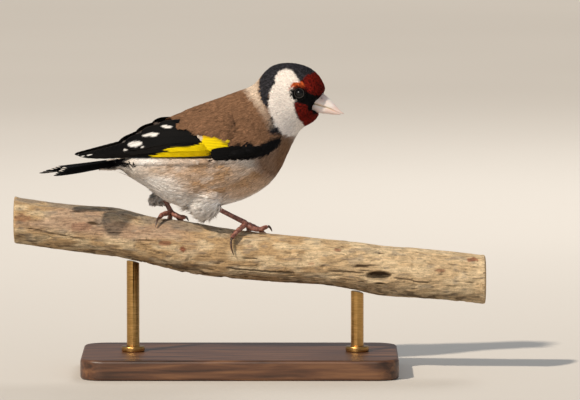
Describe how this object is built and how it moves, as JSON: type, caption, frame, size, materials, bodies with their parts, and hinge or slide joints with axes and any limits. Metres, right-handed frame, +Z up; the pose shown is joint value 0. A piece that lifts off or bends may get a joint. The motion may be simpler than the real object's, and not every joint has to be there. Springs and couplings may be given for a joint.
{
  "type": "goldfinch",
  "caption": "European goldfinch, adult, perched with folded wings and turned head on a cut length of bare weathered branch, held by a plain display stand.",
  "frame": {"origin": "centre of the stand base's underside", "axes": "+Z up, +X along the branch towards its lower end, the way the bird faces, +Y away from the side seen in the picture"},
  "size_m": [0.185, 0.066, 0.1214],
  "materials": {
    "plumage_body": "soft plumage, warm brown above, buff and white below",
    "plumage_head": "soft plumage, red face, white cheeks, black crown",
    "plumage_flight": "smooth black vanes with a yellow bar and white spots",
    "bill_horn": "pinkish ivory horn, satin",
    "eye_glass": "wet and glossy, almost black",
    "leg_skin": "scaled skin, dusky pink-brown",
    "claw_horn": "dark brown horn, satin",
    "bare_wood": "bark-less weathered wood with grey streaks",
    "stand_wood": "dark stained and waxed",
    "stand_brass": "brushed"
  },
  "bodies": {
    "root": {"torso": "plumage_body", "neck": "plumage_body", "thigh_right": "plumage_body", "thigh_left": "plumage_body", "head": "plumage_head", "wing_right": "plumage_flight", "wing_left": "plumage_flight", "tail": "plumage_flight", "bill_upper": "bill_horn", "bill_lower": "bill_horn", "eye_right": "eye_glass", "eye_left": "eye_glass", "tarsus_right": "leg_skin", "toe_1_right": "leg_skin", "claw_1_right": "claw_horn", "toe_2_right": "leg_skin", "claw_2_right": "claw_horn", "toe_3_right": "leg_skin", "claw_3_right": "claw_horn", "toe_4_right": "leg_skin", "claw_4_right": "claw_horn", "tarsus_left": "leg_skin", "toe_1_left": "leg_skin", "claw_1_left": "claw_horn", "toe_2_left": "leg_skin", "claw_2_left": "claw_horn", "toe_3_left": "leg_skin", "claw_3_left": "claw_horn", "toe_4_left": "leg_skin", "claw_4_left": "claw_horn", "perch": "bare_wood", "stand_base": "stand_wood", "stand_rod_rear": "stand_brass", "stand_rod_front": "stand_brass"}
  },
  "joints": []
}
